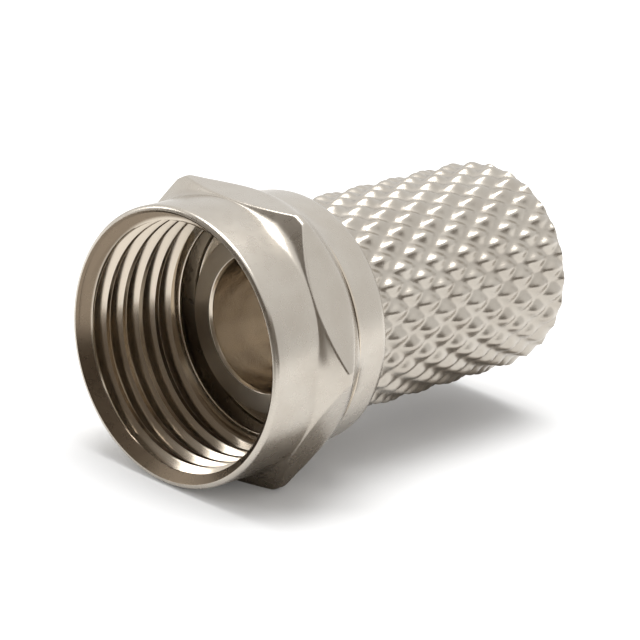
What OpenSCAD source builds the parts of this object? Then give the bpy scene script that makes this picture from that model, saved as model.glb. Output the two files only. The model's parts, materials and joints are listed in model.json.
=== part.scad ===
// Screw-on coaxial F connector: a captive coupling nut that spins on a one-piece knurled body.
// The axis is X. The origin is the centre of the nut's mouth, and +X points towards the cable.

/* [Coupling nut] */
// Width across the hexagon's flats
hex_af = 10; // [9.96:0.02:10.4]
// Diameter that the hexagon's corners are turned down to
corner_d = 11.3; // [10.9:0.05:11.5]
// Diameter of the round barrel in front of the hexagon
barrel_d = 9.9; // [9.8:0.02:9.94]
// Length of the nut
nut_len = 6.05; // [6:0.05:7]
// Length of the round barrel, from the mouth to the front shoulder
barrel_len = 2.2; // [1.8:0.05:2.3]
// Slope of the shoulder that rises to the corners, in degrees from the axis
front_slope = 50; // [42:1:60]
// Length over which the corners keep their full diameter
corner_len = 0.25; // [0.1:0.05:0.4]
// Slope of the shoulder behind the corners, in degrees from the axis
rear_slope = 38; // [34:1:50]
// Diameter of the round collar where the rear shoulder meets it
collar_d = 9.4; // [9.2:0.05:9.6]
// Diameter that the collar tapers to at its rear end
collar_end_d = 9.05; // [8.9:0.05:9.2]
// Radius of the mouth's outer edge
mouth_round = 0.12; // [0.05:0.01:0.2]
// Radius of the collar's rear edge
collar_round = 0.35; // [0.2:0.05:0.6]
// Thickness of the rear web that holds the nut on the body
web_t = 0.8; // [0.6:0.05:1]

/* [Port thread] */
// Minor diameter of the 3/8-32 internal thread
thread_minor_d = 8.7; // [8.6:0.02:8.8]
// Diameter of the lead-in cone at the mouth
lead_in_d = 9.54; // [9.4:0.01:9.58]
// Distance from the mouth to the end of the thread
thread_len = 4.35; // [3:0.05:4.6]
// Diameter of the plain bore between the thread and the web
plain_bore_d = 8; // [7.4:0.1:8.2]

/* [Knurled body] */
// Length from the nut's mouth to the cable end
total_len = 16.6; // [14:0.1:24]
// Bore for the cable's dielectric
bore_d = 4.8; // [4:0.1:5]
// Chamfer at the bore's front edge
bore_chamfer = 0.1; // [0.05:0.01:0.15]
// Diameter of the contact flange inside the nut
flange_d = 6.5; // [6.3:0.05:7.2]
// Thickness of the flange
flange_t = 0.85; // [0.6:0.05:1]
// Diameter of the neck that the nut spins on
neck_d = 5.8; // [5.6:0.05:6]
// Entry bore for the cable jacket, at the crests of its coarse thread
cable_bore_d = 6.1; // [5.6:0.05:6.3]
// Depth of the cable bore from the rear end
cable_bore_len = 8.6; // [5:0.1:9.4]
// Chamfer at the rear mouth of the cable bore
mouth_chamfer = 0.2; // [0.1:0.02:0.3]

/* [Knurl] */
// Diameter over the knurl's crests
knurl_d = 7.85; // [7.6:0.05:9]
// Depth of the grooves
knurl_depth = 0.3; // [0.15:0.01:0.34]
// Number of grooves in each of the two crossing families
knurl_starts = 25; // [18:1:28]
// Nominal helix angle of the grooves from the axis, in degrees
knurl_angle = 30; // [25:1:36]
// Share of a diamond that its rounded crest takes
crest_share = 0.4; // [0.2:0.05:0.6]
// How far the last row of diamonds is centred behind the rear end
knurl_overrun = 0.2; // [0:0.05:0.6]
// Length of the plain edge at each end of the knurl
knurl_edge = 0.05; // [0.03:0.01:0.2]
// Chamfer at each end of the knurl
knurl_chamfer = 0.15; // [0.05:0.01:0.25]

/* [Clearances] */
// Radial gap between the neck and the nut's web
neck_gap = 0.05; // [0.03:0.01:0.1]
// Axial gap on each side of the nut's web
web_gap = 0.05; // [0.03:0.01:0.15]

/* [Hidden] */
nickel = "#c2bcae";
smooth = 128;
eps = 0.01;
round_steps = 6;

// Stations of the nut along the axis
corner_x = barrel_len + (corner_d - barrel_d) / 2 / tan(front_slope);
corner_end_x = corner_x + corner_len;
collar_x = corner_end_x + (corner_d - collar_d) / 2 / tan(rear_slope);
lead_in_len = (lead_in_d - thread_minor_d) / 2;
web_x = nut_len - web_t;

// Stations of the body: its flange and its shoulder stand either side of the web
flange_back_x = web_x - web_gap;
flange_x = flange_back_x - flange_t;
shoulder_x = nut_len + web_gap;
cable_bore_x = total_len - cable_bore_len;

// The sleeve's wall lies just under the grooves, and the knurl's ring sinks into that wall
groove_r = knurl_d / 2 - knurl_depth;
skin = 0.06;
sink = 0.15;
sleeve_r = groove_r - skin;
root_r = sleeve_r - sink;

// The knurl is a lattice of half pitches, with a diamond round every second point. It runs one
// row past each end, where it is cut off.
knurl_x = shoulder_x + knurl_edge;
knurl_end_x = total_len - knurl_edge;
half_turn = 180 / knurl_starts;
half_pitch = PI * knurl_d / knurl_starts / tan(knurl_angle) / 2;
last_row_x = total_len + knurl_overrun + half_pitch;
knurl_rows = ceil((last_row_x - knurl_x) / half_pitch) + 1;
columns = 2 * knurl_starts;
crest_fall = knurl_depth * crest_share / 2;

// Turns a profile of [x, radius] points round the X axis
module turned(profile) {
    rotate([90, 0, 90])
        rotate_extrude($fn = smooth)
            polygon([for (p = profile) [p[1], p[0]]]);
}

// Points of a rounded edge of radius r about [x, y], from angle a to angle b
function rounding(x, y, r, a, b) =
    [for (i = [0 : round_steps]) let (t = a + (b - a) * i / round_steps)
        [x + r * cos(t), y + r * sin(t)]];

// A point of the knurl at column i, row j and radius r
function knurl_point(i, j, r) =
    [last_row_x - (knurl_rows - j) * half_pitch, r * cos(i * half_turn), r * sin(i * half_turn)];

function is_crest(i, j) = (i + j) % 2 == 0;
function is_inner(j) = j > 0 && j < knurl_rows;

module coupling_nut() {
    outline = concat(
        rounding(mouth_round, barrel_d / 2 - mouth_round, mouth_round, 180, 90),
        [[barrel_len, barrel_d / 2],
         [corner_x, corner_d / 2],
         [corner_end_x, corner_d / 2],
         [collar_x, collar_d / 2]],
        rounding(nut_len - collar_round, collar_end_d / 2 - collar_round, collar_round, 90, 0));
    bore = [
        [-eps, 0],
        [-eps, lead_in_d / 2 + eps],
        [lead_in_len, thread_minor_d / 2],
        [thread_len, thread_minor_d / 2],
        [thread_len, plain_bore_d / 2],
        [web_x, plain_bore_d / 2],
        [web_x, neck_d / 2 + neck_gap],
        [nut_len + eps, neck_d / 2 + neck_gap],
        [nut_len + eps, 0]];
    color(nickel)
        difference() {
            intersection() {
                turned(concat([[0, 0]], outline, [[nut_len, 0]]));
                rotate([90, 0, 90])
                    cylinder(d = hex_af / cos(30), h = nut_len, $fn = 6);
            }
            turned(bore);
        }
}

// The ring of raised diamonds: each slopes up from its four groove corners to a rounded crest
module diamond_lattice() {
    rows = knurl_rows + 1;
    grid = [for (j = [0 : knurl_rows], i = [0 : columns - 1])
        knurl_point(i, j, is_crest(i, j) && is_inner(j) ? knurl_d / 2 : groove_r)];
    ring = [for (j = [0, knurl_rows], i = [0 : columns - 1]) knurl_point(i, j, root_r)];
    crests = [for (j = [1 : knurl_rows - 1], i = [0 : columns - 1]) if (is_crest(i, j)) [i, j]];
    shoulder_r = knurl_d / 2 - crest_fall;
    shoulders = [for (c = crests, s = [[1, 0], [0, 1], [-1, 0], [0, -1]])
        knurl_point(c[0] + s[0] * crest_share, c[1] + s[1] * crest_share, shoulder_r)];
    function at(i, j) = j * columns + (i + columns) % columns;
    function under(i, k) = rows * columns + k * columns + (i + columns) % columns;
    function shoulder(n, k) = (rows + 2) * columns + 4 * n + k % 4;
    faces = concat(
        [for (n = [0 : len(crests) - 1], k = [0 : 3])
            let (c = crests[n], corners = [[1, 0], [0, 1], [-1, 0], [0, -1]],
                 a = corners[k], b = corners[(k + 1) % 4])
            each [
                [at(c[0], c[1]), shoulder(n, k + 1), shoulder(n, k)],
                [at(c[0] + a[0], c[1] + a[1]), shoulder(n, k), shoulder(n, k + 1)],
                [at(c[0] + a[0], c[1] + a[1]), shoulder(n, k + 1), at(c[0] + b[0], c[1] + b[1])]]],
        [for (i = [0 : columns - 1]) if (is_crest(i, 0)) each [
            [at(i - 1, 0), at(i, 1), at(i, 0)],
            [at(i, 0), at(i, 1), at(i + 1, 0)]]],
        [for (i = [0 : columns - 1]) if (is_crest(i, knurl_rows)) each [
            [at(i, knurl_rows), at(i, knurl_rows - 1), at(i - 1, knurl_rows)],
            [at(i + 1, knurl_rows), at(i, knurl_rows - 1), at(i, knurl_rows)]]],
        [for (i = [0 : columns - 1]) each [
            [at(i, 0), at(i + 1, 0), under(i + 1, 0), under(i, 0)],
            [under(i, 1), under(i + 1, 1), at(i + 1, knurl_rows), at(i, knurl_rows)],
            [under(i + 1, 0), under(i + 1, 1), under(i, 1), under(i, 0)]]]);
    polyhedron(concat(grid, ring, shoulders), faces);
}

// The lattice between its two ends, with the chamfers that cut its diamonds down there
module diamond_knurl() {
    end_r = knurl_d / 2 - knurl_chamfer;
    reach = knurl_chamfer + eps;
    intersection() {
        diamond_lattice();
        turned([
            [knurl_x, 0],
            [knurl_x, end_r],
            [knurl_x + reach, end_r + reach],
            [knurl_end_x - reach, end_r + reach],
            [knurl_end_x, end_r],
            [knurl_end_x, 0]]);
    }
}

module knurled_body() {
    color(nickel)
        difference() {
            union() {
                turned([
                    [flange_x, 0],
                    [flange_x, flange_d / 2],
                    [flange_back_x, flange_d / 2],
                    [flange_back_x, neck_d / 2],
                    [shoulder_x, neck_d / 2],
                    [shoulder_x, sleeve_r],
                    [total_len, sleeve_r],
                    [total_len, 0]]);
                diamond_knurl();
            }
            turned([
                [flange_x - eps, 0],
                [flange_x - eps, bore_d / 2 + bore_chamfer + eps],
                [flange_x + bore_chamfer, bore_d / 2],
                [cable_bore_x, bore_d / 2],
                [cable_bore_x, cable_bore_d / 2],
                [total_len - mouth_chamfer, cable_bore_d / 2],
                [total_len + eps, cable_bore_d / 2 + mouth_chamfer + eps],
                [total_len + eps, 0]]);
        }
}

coupling_nut();
knurled_body();
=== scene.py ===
import json
import math

import bmesh
import bpy
import numpy as np
from mathutils import Matrix, Vector


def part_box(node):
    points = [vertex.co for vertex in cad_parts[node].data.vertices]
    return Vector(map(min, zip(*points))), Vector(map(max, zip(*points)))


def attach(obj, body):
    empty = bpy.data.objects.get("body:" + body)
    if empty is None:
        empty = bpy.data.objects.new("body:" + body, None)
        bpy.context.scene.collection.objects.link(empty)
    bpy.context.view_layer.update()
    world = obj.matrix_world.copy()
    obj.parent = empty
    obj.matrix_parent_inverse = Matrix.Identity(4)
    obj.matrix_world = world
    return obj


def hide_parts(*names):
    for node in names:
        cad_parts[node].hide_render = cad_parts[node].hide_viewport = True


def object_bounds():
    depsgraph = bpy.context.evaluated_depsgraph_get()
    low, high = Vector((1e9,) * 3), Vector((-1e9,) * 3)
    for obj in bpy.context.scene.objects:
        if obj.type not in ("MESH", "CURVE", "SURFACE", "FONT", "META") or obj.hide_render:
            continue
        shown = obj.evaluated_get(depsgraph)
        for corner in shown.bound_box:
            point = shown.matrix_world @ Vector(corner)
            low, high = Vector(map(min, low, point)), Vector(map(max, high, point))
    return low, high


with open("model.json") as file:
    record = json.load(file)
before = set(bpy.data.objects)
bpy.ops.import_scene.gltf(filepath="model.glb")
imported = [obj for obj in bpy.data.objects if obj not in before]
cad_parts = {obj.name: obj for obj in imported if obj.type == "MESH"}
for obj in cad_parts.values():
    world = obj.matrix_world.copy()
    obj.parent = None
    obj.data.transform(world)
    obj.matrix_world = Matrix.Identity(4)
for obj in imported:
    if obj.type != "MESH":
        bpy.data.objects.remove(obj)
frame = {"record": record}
solids_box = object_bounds()

# Coupling nut: turned from hexagonal brass bar and nickel plated. A round barrel carries the
# mouth, the hexagon's corners are turned down by two cones, and a tapered collar closes the back
# over the body's neck. The port's 3/8-32 thread is cut inside.

mm = 0.001
mounts = {mount["name"]: mount for mount in frame["record"]["mounts"]}
nut_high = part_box("coupling_nut")[1]
nut_end = nut_high.x
hex_r = nut_high.z
corner_r = nut_high.y
barrel_r = 4.95 * mm
barrel_end = 2.2 * mm
front_slope = math.radians(50)
collar_r = 4.7 * mm
collar_end_r = 4.525 * mm
rear_slope = math.radians(38)
corner_len = 0.25 * mm
lead_in_r = 4.77 * mm
thread_crest_r = mounts["port_thread"]["dims"]["r_mm"] * mm
thread_root_r = 4.7625 * mm
thread_pitch = 25.4 / 32 * mm
thread_end = 4.35 * mm
relief_r = 4 * mm
web_x = 5.25 * mm
web_r = 2.95 * mm
hex_edge = 0.012 * mm
mouth_lip = 0.08 * mm
mouth_round = 0.16 * mm
lead_in_depth = 0.42 * mm
thread_rows = 32


def soften(corners, softness, steps=5):
    """Rows along an outline whose corners are softened.

    corners is indexed by corner, column, and then (x, radius). Each inner corner becomes a parabola
    that starts and ends its own softness away from it, or 0.4 of the shorter stretch beside it. One
    more row lies just outside each end of the parabola, so that straight stretches shade straight.
    """
    here = corners[1:-1]
    back = corners[:-2] - here
    ahead = corners[2:] - here
    back_len = np.linalg.norm(back, axis=-1, keepdims=True)
    ahead_len = np.linalg.norm(ahead, axis=-1, keepdims=True)
    soft = np.minimum(np.reshape(softness, (-1, 1, 1)), 0.4 * np.minimum(back_len, ahead_len))
    start = here + back / back_len * soft
    end = here + ahead / ahead_len * soft
    rows = [here + back / back_len * soft * 1.2]
    for s in np.linspace(0, 1, steps):
        rows.append((1 - s) ** 2 * start + 2 * s * (1 - s) * here + s ** 2 * end)
    rows.append(here + ahead / ahead_len * soft * 1.2)
    rows = np.stack(rows, 1).reshape(-1, *corners.shape[1:])
    return np.concatenate([corners[:1], rows, corners[-1:]])


def helix_rows(start, end, pitch, rows_per_pitch, turn):
    """Stations of rows that climb with a right-hand helix, one pitch a turn, from start to end.

    Row k stands at start + (k / rows_per_pitch - 1 + turn / 2 pi) pitches, held between start and
    end, so the rows lie flat at both ends and meet each other again after a full turn.
    """
    count = math.ceil((end - start) / pitch * rows_per_pitch) + rows_per_pitch
    row = np.arange(count + 1)[:, None]
    climb = (row / rows_per_pitch - 1 + turn / (2 * np.pi)) * pitch
    return np.clip(start + climb, start, end)


def thread_radius(x, turn, pitch, crest, root):
    """Radius of a 60 degree thread: flat crests a quarter pitch wide, roots an eighth, straight flanks."""
    phase = (x / pitch - turn / (2 * np.pi)) % 1
    return np.interp(phase, np.array([0, 1, 6, 10, 15, 16]) / 16, [root, root, crest, crest, root, root])


def ring_mesh(name, section, turn):
    """A closed ring: section gives (x, radius) by row and column, turn each column's angle about X.

    A point stands at (x, radius cos turn, radius sin turn). The last row joins the first, and points
    that coincide are merged, which closes the ring at its seam and where helical rows run out.
    """
    x, r = section[..., 0], section[..., 1]
    angle = turn % (2 * np.pi)
    points = np.stack([x, r * np.cos(angle), r * np.sin(angle)], -1).reshape(-1, 3)
    rows, columns = x.shape
    index = np.arange(rows * columns).reshape(rows, columns)
    below = np.roll(index, -1, axis=0)
    cells = np.stack([index[:, :-1], index[:, 1:], below[:, 1:], below[:, :-1]], -1).reshape(-1, 4)
    mesh = bpy.data.meshes.new(name)
    mesh.from_pydata(points, [], cells)
    work = bmesh.new()
    work.from_mesh(mesh)
    bmesh.ops.remove_doubles(work, verts=work.verts, dist=2e-7)
    bmesh.ops.recalc_face_normals(work, faces=work.faces)
    work.to_mesh(mesh)
    work.free()
    mesh.shade_smooth()
    mesh.set_sharp_from_angle(angle=math.radians(50))
    piece = bpy.data.objects.new(name, mesh)
    bpy.context.scene.collection.objects.link(piece)
    return piece


def nut_columns():
    """Angles round the nut, close together beside the hexagon's six corners, which stand at 0, 60 ..."""
    corner = math.acos(hex_r / corner_r) - math.radians(30)
    half = np.concatenate([[0], -corner + np.radians([-0.9, -0.45, -0.2, 0, 0.2, 0.45, 0.9]),
                           np.linspace(-corner + math.radians(2.5), math.radians(30), 10)])
    half = np.sort(half[half >= 0])
    sector = np.concatenate([half, math.radians(60) - half[-2:0:-1]])
    return np.concatenate([(sector + math.radians(60) * k) for k in range(6)] + [[2 * math.pi]])


def nut_section(turn):
    """The nut's section at each angle: the hexagon's distance from the axis cuts into the two cones."""
    level = np.ones_like(turn)
    from_flat = (turn + math.radians(30)) % math.radians(60) - math.radians(30)
    flat = hex_r / np.cos(math.radians(30) - np.abs(from_flat))
    land = -hex_edge * np.logaddexp(-flat / hex_edge, -corner_r / hex_edge)
    front = barrel_end + (land - barrel_r) / math.tan(front_slope)
    widest = barrel_end + (corner_r - barrel_r) / math.tan(front_slope) + corner_len
    collar_x = widest + (corner_r - collar_r) / math.tan(rear_slope)
    rear = collar_x - (land - collar_r) / math.tan(rear_slope)
    bend = np.linspace(0, math.pi / 2, 9)
    end_r = thread_radius(thread_end, turn, thread_pitch, thread_crest_r, thread_root_r)
    corners = [
        (mouth_lip, lead_in_r - mouth_lip), (0, lead_in_r),
        *((mouth_round * (1 - math.sin(b)), barrel_r - mouth_round * (1 - math.cos(b))) for b in bend[::-1]),
        (barrel_end, barrel_r), (front, land), (rear, land), (collar_x, collar_r), (nut_end, collar_end_r),
        (nut_end, web_r), (web_x, web_r), (web_x, relief_r), (thread_end, relief_r), (thread_end, end_r)]
    corners = np.array([(x * level, r * level) for x, r in corners]).transpose(0, 2, 1)
    softness = np.array([0.05] + [0] * len(bend) + [0.3, 0.06, 0.3, 0.7, 0.35, 0.1, 0.05, 0.1, 0.08]) * mm
    outside = soften(corners, softness)
    x = helix_rows(mouth_lip, thread_end, thread_pitch, thread_rows, turn)[::-1]
    thread = thread_radius(x, turn, thread_pitch, thread_crest_r, thread_root_r)
    thread = np.maximum(thread, lead_in_r - x)
    return np.concatenate([outside, np.stack([x, thread], -1)])


def bore_tint_and_lead_in_shade(piece, lead_in):
    """Marks surfaces that face the axis: half in the bores, which are tinted browner, and fully on the
    lead-in, where dark brown is painted shade inside the nut's mouth.
    """
    mesh = piece.data
    place = np.empty(len(mesh.vertices) * 3)
    facing = np.empty(len(mesh.vertices) * 3)
    mesh.vertices.foreach_get("co", place)
    mesh.vertex_normals.foreach_get("vector", facing)
    place, facing = place.reshape(-1, 3), facing.reshape(-1, 3)
    radius = np.hypot(place[:, 1], place[:, 2])
    inward = -(place[:, 1] * facing[:, 1] + place[:, 2] * facing[:, 2]) / radius
    inner_tint_and_shade = np.clip(inward * 3, 0, 1) * (0.5 + 0.5 * np.clip((lead_in - place[:, 0]) / (0.06 * mm), 0, 1))
    mesh.attributes.new("bore_tint_and_lead_in_shade", "FLOAT", "POINT").data.foreach_set("value", inner_tint_and_shade)


turn = nut_columns()
nut = ring_mesh("threaded_coupling_nut", nut_section(turn), turn)
bore_tint_and_lead_in_shade(nut, lead_in_depth)


def nickel_plate(name, roughness, shade):
    """Nickel plate over brass: warm grey, a little uneven in tone and polish, with tool marks round the axis.

    shade multiplies the plate's colour, and a copy below 1 is painted shade, the same plate drawn darker.
    Where the inner mark is half, in the bores, the metal is browner and 0.6 times as rough, and where it is
    full, on the lead-in, it is dark brown, painted shade inside the nut's mouth.
    """
    marks_per_mm = 14
    marks_depth = 0.004 * mm
    marks_strength = 0.3
    material = bpy.data.materials.new(name)
    material.use_nodes = True
    nodes, links = material.node_tree.nodes, material.node_tree.links
    shader = nodes["Principled BSDF"]
    shader.inputs["Metallic"].default_value = 1.0
    place = nodes.new("ShaderNodeTexCoord")
    in_mm = nodes.new("ShaderNodeMapping")
    in_mm.inputs["Scale"].default_value = (1000, 1000, 1000)
    links.new(place.outputs["Object"], in_mm.inputs["Vector"])

    tone = nodes.new("ShaderNodeTexNoise")
    tone.inputs["Scale"].default_value = 0.8
    tone.inputs["Detail"].default_value = 5
    links.new(in_mm.outputs["Vector"], tone.inputs["Vector"])
    plate = nodes.new("ShaderNodeValToRGB")
    plate.color_ramp.elements[0].position = 0.3
    plate.color_ramp.elements[0].color = (0.485 * shade, 0.44 * shade, 0.38 * shade, 1)
    plate.color_ramp.elements[1].position = 0.7
    plate.color_ramp.elements[1].color = (0.535 * shade, 0.495 * shade, 0.435 * shade, 1)
    links.new(tone.outputs["Fac"], plate.inputs["Fac"])

    # painted shade: this mark tints the bores browner and draws the lead-in inside the nut's mouth dark brown
    inner_mark = nodes.new("ShaderNodeAttribute")
    inner_mark.attribute_name = "bore_tint_and_lead_in_shade"
    inner_colours = nodes.new("ShaderNodeValToRGB")
    inner_colours.color_ramp.elements[0].position = 0.5
    inner_colours.color_ramp.elements[0].color = (0.58, 0.51, 0.42, 1)
    inner_colours.color_ramp.elements[1].position = 1
    inner_colours.color_ramp.elements[1].color = (0.2, 0.155, 0.11, 1)
    links.new(inner_mark.outputs["Fac"], inner_colours.inputs["Fac"])
    amount = nodes.new("ShaderNodeMath")
    amount.operation = "MULTIPLY"
    amount.use_clamp = True
    amount.inputs[1].default_value = 2
    links.new(inner_mark.outputs["Fac"], amount.inputs[0])
    inner_tint_and_shade = nodes.new("ShaderNodeMix")
    inner_tint_and_shade.data_type = "RGBA"
    links.new(amount.outputs[0], inner_tint_and_shade.inputs[0])
    links.new(plate.outputs["Color"], inner_tint_and_shade.inputs[6])
    links.new(inner_colours.outputs["Color"], inner_tint_and_shade.inputs[7])
    links.new(inner_tint_and_shade.outputs[2], shader.inputs["Base Color"])

    polish = nodes.new("ShaderNodeMapRange")
    polish.inputs["To Min"].default_value = roughness - 0.05
    polish.inputs["To Max"].default_value = roughness + 0.07
    cloud = nodes.new("ShaderNodeTexNoise")
    cloud.inputs["Scale"].default_value = 2.5
    cloud.inputs["Detail"].default_value = 6
    links.new(in_mm.outputs["Vector"], cloud.inputs["Vector"])
    links.new(cloud.outputs["Fac"], polish.inputs["Value"])
    inside = nodes.new("ShaderNodeValToRGB")
    inside.color_ramp.elements[0].position = 0
    inside.color_ramp.elements[0].color = (1, 1, 1, 1)
    inside.color_ramp.elements[1].position = 1
    inside.color_ramp.elements[1].color = (1, 1, 1, 1)
    bright = inside.color_ramp.elements.new(0.5)
    bright.color = (0.6, 0.6, 0.6, 1)
    links.new(inner_mark.outputs["Fac"], inside.inputs["Fac"])
    smoothed = nodes.new("ShaderNodeMath")
    smoothed.operation = "MULTIPLY"
    links.new(polish.outputs["Result"], smoothed.inputs[0])
    links.new(inside.outputs["Color"], smoothed.inputs[1])
    links.new(smoothed.outputs[0], shader.inputs["Roughness"])

    rings = nodes.new("ShaderNodeMapping")
    rings.inputs["Scale"].default_value = (marks_per_mm * 1000, 300, 300)
    links.new(place.outputs["Object"], rings.inputs["Vector"])
    marks = nodes.new("ShaderNodeTexNoise")
    marks.inputs["Scale"].default_value = 1.0
    marks.inputs["Detail"].default_value = 3
    links.new(rings.outputs["Vector"], marks.inputs["Vector"])
    bumps = nodes.new("ShaderNodeBump")
    bumps.inputs["Distance"].default_value = marks_depth
    bumps.inputs["Strength"].default_value = marks_strength
    links.new(marks.outputs["Fac"], bumps.inputs["Height"])
    links.new(bumps.outputs["Normal"], shader.inputs["Normal"])
    return material


nut.data.materials.append(nickel_plate("nut_nickel", 0.27, 1))
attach(nut, "nut")
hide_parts("coupling_nut")

# Knurled body: one piece of brass, turned, diamond knurled by two rollers, and nickel plated. Its
# thin flange meets the port inside the nut, its neck carries the nut, the cable's core passes
# through its bore, and the jacket screws into the coarse thread at the back.

body_low, body_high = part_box("knurled_body")
body_end = body_high.x
flange_x = body_low.x
knurl_r = body_high.y
flange_r = 3.25 * mm
flange_back = 5.2 * mm
neck_r = 2.9 * mm
shoulder_x = nut_end + 0.05 * mm
knurl_depth = 0.24 * mm
knurl_starts = 25
knurl_x = shoulder_x + 0.05 * mm
knurl_end = body_end - 0.05 * mm
last_crest_x = body_end + 0.2 * mm
half_pitch = math.pi * knurl_r / knurl_starts / math.tan(math.radians(30))
knurl_chamfer = 0.15 * mm
core_r = mounts["dielectric_bore"]["dims"]["r_mm"] * mm
core_chamfer = 0.1 * mm
jacket_x = 8 * mm
jacket_r = mounts["cable_bore"]["dims"]["r_mm"] * mm
jacket_root_r = 3.25 * mm
jacket_pitch = 1.25 * mm
mouth_chamfer = 0.2 * mm
groove_r = knurl_r - knurl_depth
sleeve_r = groove_r - 0.06 * mm
steps_per_diamond = 12
tip = 1.2
valley = 0.5


def knurl_radius(x, turn):
    """Radius of a diamond knurl: two families of grooves cross, and a rounded pyramid stands between.

    Counted in half pitches, turn i and station j, a family's height is a triangle wave of i + j or of
    i - j, rounded at its top and bottom. A diamond's height is the smooth lower of the two. Cones
    chamfer both ends.
    """
    i = turn * knurl_starts / np.pi
    j = (x - last_crest_x) / half_pitch

    def wave(t):
        rise = np.hypot(np.abs(t % 2 - 1), valley) - valley
        rise = rise / (math.hypot(1, valley) - valley)
        return 1 - (np.hypot(1 - rise, tip) - tip) / (math.hypot(1, tip) - tip)

    a, b = wave(i + j), wave(i - j)
    soft = 0.5 * tip
    rise = np.clip(0.5 * (a + b - np.hypot(a - b, soft)) + 0.5 * soft, 0, 1)
    end = knurl_r - knurl_chamfer + np.minimum(x - knurl_x, knurl_end - x)
    return np.minimum(groove_r + knurl_depth * rise, end)


def body_section(turn):
    """The body's section at each angle: turned flange and neck, the knurl, and the bores."""
    level = np.ones_like(turn)
    bite = 0.15 * mm

    def rows(points, softness):
        points = np.array([(x * level, r * level) for x, r in points]).transpose(0, 2, 1)
        return soften(points, np.array(softness) * mm)

    front = rows(
        [(jacket_x - bite, core_r), (flange_x + core_chamfer, core_r), (flange_x, core_r + core_chamfer),
         (flange_x, flange_r), (flange_back, flange_r), (flange_back, neck_r), (shoulder_x, neck_r),
         (shoulder_x, sleeve_r), (knurl_x, sleeve_r), (knurl_x, groove_r)],
        [0.03, 0.03, 0.05, 0.05, 0.05, 0.05, 0.05, 0.04])
    ends = np.linspace(0, 0.2, 6) * mm
    x = np.linspace(knurl_x + 0.3 * mm, knurl_end - 0.3 * mm, 96)
    x = np.concatenate([knurl_x + ends, x, knurl_end - ends[::-1]])[:, None] * level
    knurl = np.stack([x, knurl_radius(x, turn)], -1)
    jacket_end = body_end - mouth_chamfer
    rear = rows(
        [(knurl_end, groove_r), (knurl_end, sleeve_r), (body_end, sleeve_r - 0.05 * mm),
         (body_end, jacket_r + mouth_chamfer), (jacket_end, jacket_r)],
        [0.04, 0.06, 0.04])
    x = helix_rows(jacket_x, jacket_end, jacket_pitch, 12, turn)[::-1]
    room = np.clip(np.minimum(jacket_end - x, x - jacket_x) / (0.6 * mm), 0, 1)
    cut = thread_radius(x, turn, jacket_pitch, jacket_r, jacket_root_r)
    jacket = np.stack([x, jacket_r + (cut - jacket_r) * room], -1)
    floor = rows([(jacket_x, jacket_r), (jacket_x, core_r), (jacket_x - bite, core_r)], [0.05])
    return np.concatenate([front, knurl, rear, jacket, floor])


turn = np.linspace(0, 2 * math.pi, knurl_starts * steps_per_diamond + 1)
body = ring_mesh("diamond_knurled_body", body_section(turn), turn)
bore_tint_and_lead_in_shade(body, 0)
# painted shade: the body's nickel is the nut's plate drawn 0.94 times as bright
body.data.materials.append(nickel_plate("body_nickel", 0.3, 0.94))
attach(body, "body")
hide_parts("knurled_body")

# Studio: a pale floor, whose glow is lower near the connector as painted shade round it, a broad soft
# light overhead and a smaller one on the left, and a pale surround that metal shows as well. A dark card on
# the camera's side and two on the floor under the connector are seen by reflections only, and darken the
# cones, the thread and the underside; the two on the floor are a painted shadow.

floor_z = solids_box[0][2]
bpy.ops.mesh.primitive_plane_add(size=4, location=(0, 0, floor_z))
floor = bpy.context.object
floor.name = "studio_floor"
surface = bpy.data.materials.new("studio_paper")
surface.use_nodes = True
nodes, links = surface.node_tree.nodes, surface.node_tree.links
paper = nodes["Principled BSDF"]
paper.inputs["Base Color"].default_value = (0.8, 0.8, 0.8, 1)
paper.inputs["Roughness"].default_value = 0.9
paper.inputs["Specular IOR Level"].default_value = 0.2
seen = nodes.new("ShaderNodeLightPath")
either = nodes.new("ShaderNodeMath")
either.operation = "MAXIMUM"
links.new(seen.outputs["Is Camera Ray"], either.inputs[0])
links.new(seen.outputs["Is Glossy Ray"], either.inputs[1])
any_view = nodes.new("ShaderNodeMath")
any_view.operation = "MAXIMUM"
links.new(either.outputs[0], any_view.inputs[0])
links.new(seen.outputs["Is Transmission Ray"], any_view.inputs[1])
# painted shade: the floor's glow falls from 0.3 beyond 45 mm to 0.05 within 6 mm of the connector's middle,
# for the camera and for reflections
ground = nodes.new("ShaderNodeTexCoord")
away = nodes.new("ShaderNodeVectorMath")
away.operation = "DISTANCE"
away.inputs[1].default_value = (8 * mm, 0, 0)
links.new(ground.outputs["Object"], away.inputs[0])
painted_shade_ramp = nodes.new("ShaderNodeMapRange")
painted_shade_ramp.interpolation_type = "SMOOTHSTEP"
painted_shade_ramp.inputs["From Min"].default_value = 6 * mm
painted_shade_ramp.inputs["From Max"].default_value = 45 * mm
painted_shade_ramp.inputs["To Min"].default_value = 0.05
painted_shade_ramp.inputs["To Max"].default_value = 0.3
links.new(away.outputs["Value"], painted_shade_ramp.inputs["Value"])
glow = nodes.new("ShaderNodeMath")
glow.operation = "MULTIPLY"
links.new(painted_shade_ramp.outputs["Result"], glow.inputs[1])
links.new(any_view.outputs[0], glow.inputs[0])
paper.inputs["Emission Color"].default_value = (1, 1, 1, 1)
links.new(glow.outputs[0], paper.inputs["Emission Strength"])
floor.data.materials.append(surface)

world = bpy.data.worlds.new("studio")
bpy.context.scene.world = world
world.use_nodes = True
nodes, links = world.node_tree.nodes, world.node_tree.links
sky = nodes["Background"]
sky.inputs["Color"].default_value = (1, 1, 1, 1)
ray = nodes.new("ShaderNodeLightPath")
level = nodes.new("ShaderNodeMapRange")
level.inputs["To Min"].default_value = 1.0
level.inputs["To Max"].default_value = 0.7
links.new(ray.outputs["Is Diffuse Ray"], level.inputs["Value"])
links.new(level.outputs["Result"], sky.inputs["Strength"])


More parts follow.
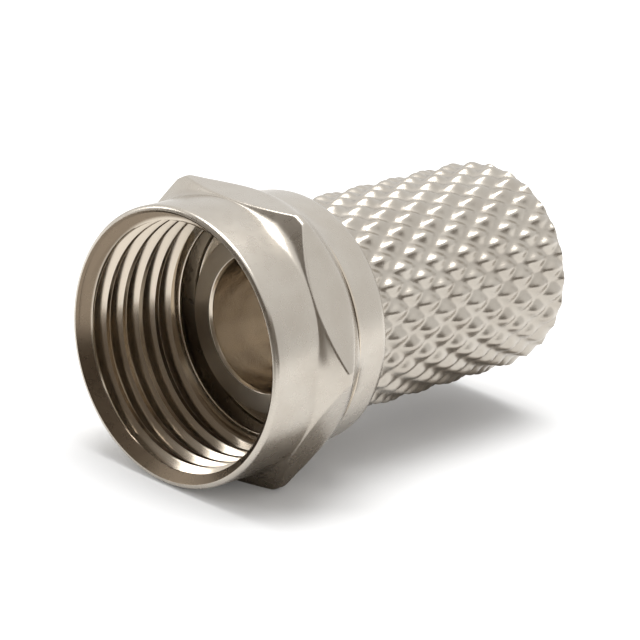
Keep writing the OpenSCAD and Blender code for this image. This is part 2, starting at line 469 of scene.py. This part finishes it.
def softbox(name, size, place, energy):
    """A soft rectangular lamp at place, in millimetres, that faces the middle of the connector."""
    lamp = bpy.data.lights.new(name, "AREA")
    lamp.shape = "RECTANGLE"
    lamp.size, lamp.size_y = np.array(size) * mm
    lamp.energy = energy
    box = bpy.data.objects.new(name, lamp)
    bpy.context.scene.collection.objects.link(box)
    box.location = np.array(place) * mm
    box.rotation_euler = (box.location - Vector((8, 0, 0)) * mm).to_track_quat("Z", "Y").to_euler()


softbox("overhead_softbox", (120, 95), (15, 8, 150), 0.25)
softbox("left_softbox", (80, 50), (-90, 110, 55), 0.05)

camera_side = math.radians(-138.57)


def reflected_card(name, points, tone):
    """A grid of points, by row and column, as a matt card that only reflections see."""
    index = np.arange(points.shape[0] * points.shape[1]).reshape(points.shape[:2])
    cells = np.stack([index[:-1, :-1], index[1:, :-1], index[1:, 1:], index[:-1, 1:]], -1).reshape(-1, 4)
    mesh = bpy.data.meshes.new(name)
    mesh.from_pydata(points.reshape(-1, 3), [], cells)
    card = bpy.data.objects.new(name, mesh)
    bpy.context.scene.collection.objects.link(card)
    card.visible_camera = False
    card.visible_diffuse = False
    card.visible_shadow = False
    velvet = bpy.data.materials.new(name)
    velvet.use_nodes = True
    velvet.node_tree.nodes["Principled BSDF"].inputs["Base Color"].default_value = tone
    velvet.node_tree.nodes["Principled BSDF"].inputs["Roughness"].default_value = 1
    card.data.materials.append(velvet)


def black_card(outline, reach, closer):
    """A card bent round the connector on the camera's side, which only reflections see.

    outline lists (distance, height) from the floor under the connector, carried over reach, in
    degrees to either side of the camera. Its left part comes nearer, to closer times the distance.
    """
    outline = np.array(outline, float) * mm
    sweep = camera_side + np.radians(np.linspace(-reach[0], reach[1], 33))
    middle = 8 * mm
    near = np.interp(sweep - camera_side, np.radians([-22, -7]), [closer, 1])
    x = middle + outline[:, :1] * near * np.cos(sweep)
    y = outline[:, :1] * near * np.sin(sweep)
    z = floor_z + outline[:, 1:] + 0 * x
    reflected_card("black_card", np.stack([x, y, z], -1), (0.12, 0.1, 0.08, 1))


black_card([(54, 0.2), (80, 0.2), (90, 60)], (82, 76), 0.45)
# painted shadow: these sheets under the nut and the body, seen only in reflections, darken the underside as
# the connector's shadow
for name, start, end in [("nut_shadow_card", 1.5, 5.8), ("body_shadow_card", 11, 17)]:
    x, y = np.meshgrid(np.array([start, end]) * mm, np.array([-5.5, 5.5]) * mm)
    reflected_card(name, np.stack([x, y, floor_z + 0.02 * mm + 0 * x], -1), (0.33, 0.3, 0.27, 1))

aim = Vector((7.63, 0.13, -0.54)) * mm
azimuth, elevation, roll = camera_side, math.radians(19.22), math.radians(5.04)
camera = bpy.data.cameras.new("camera")
camera.lens = 193.5
camera.sensor_width = 36
camera.clip_start = 0.01
view = bpy.data.objects.new("camera", camera)
bpy.context.scene.collection.objects.link(view)
toward = Vector((math.cos(elevation) * math.cos(azimuth), math.cos(elevation) * math.sin(azimuth),
                 math.sin(elevation)))
view.location = aim + toward * 122.82 * mm
view.rotation_euler = (toward.to_track_quat("Z", "Y").to_matrix() @ Matrix.Rotation(roll, 3, "Z")).to_euler()
bpy.context.scene.camera = view
bpy.context.scene.view_settings.view_transform = "Standard"
